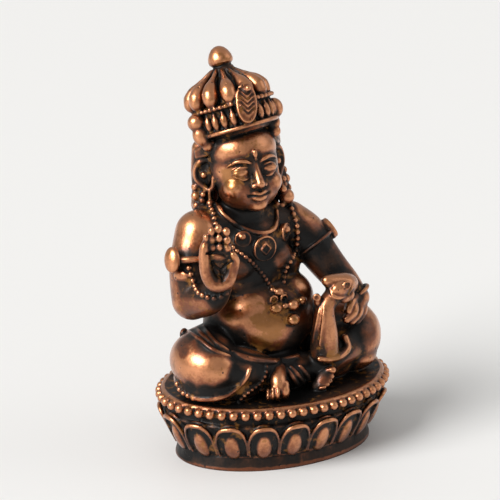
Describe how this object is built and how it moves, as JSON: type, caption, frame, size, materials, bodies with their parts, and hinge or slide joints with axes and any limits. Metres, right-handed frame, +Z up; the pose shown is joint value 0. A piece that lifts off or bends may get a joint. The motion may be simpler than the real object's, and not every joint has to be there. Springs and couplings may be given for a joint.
{
  "type": "kubera statue",
  "caption": "Small cast copper-finish statue of a pot-bellied seated deity with crown, raised palm and mongoose, on an oval lotus base.",
  "frame": {"origin": "centre of the oval base's flat underside, where the statue rests", "axes": "+Z up through the figure, the figure faces -Y, its left hand and the mongoose towards +X"},
  "size_m": [0.0406, 0.0302, 0.0643],
  "materials": {
    "antiqued_copper": "antiqued copper alloy, polished on the high parts and dark brown to black in the recesses"
  },
  "bodies": {
    "root": {"kubera_statue": "antiqued_copper"}
  },
  "joints": []
}
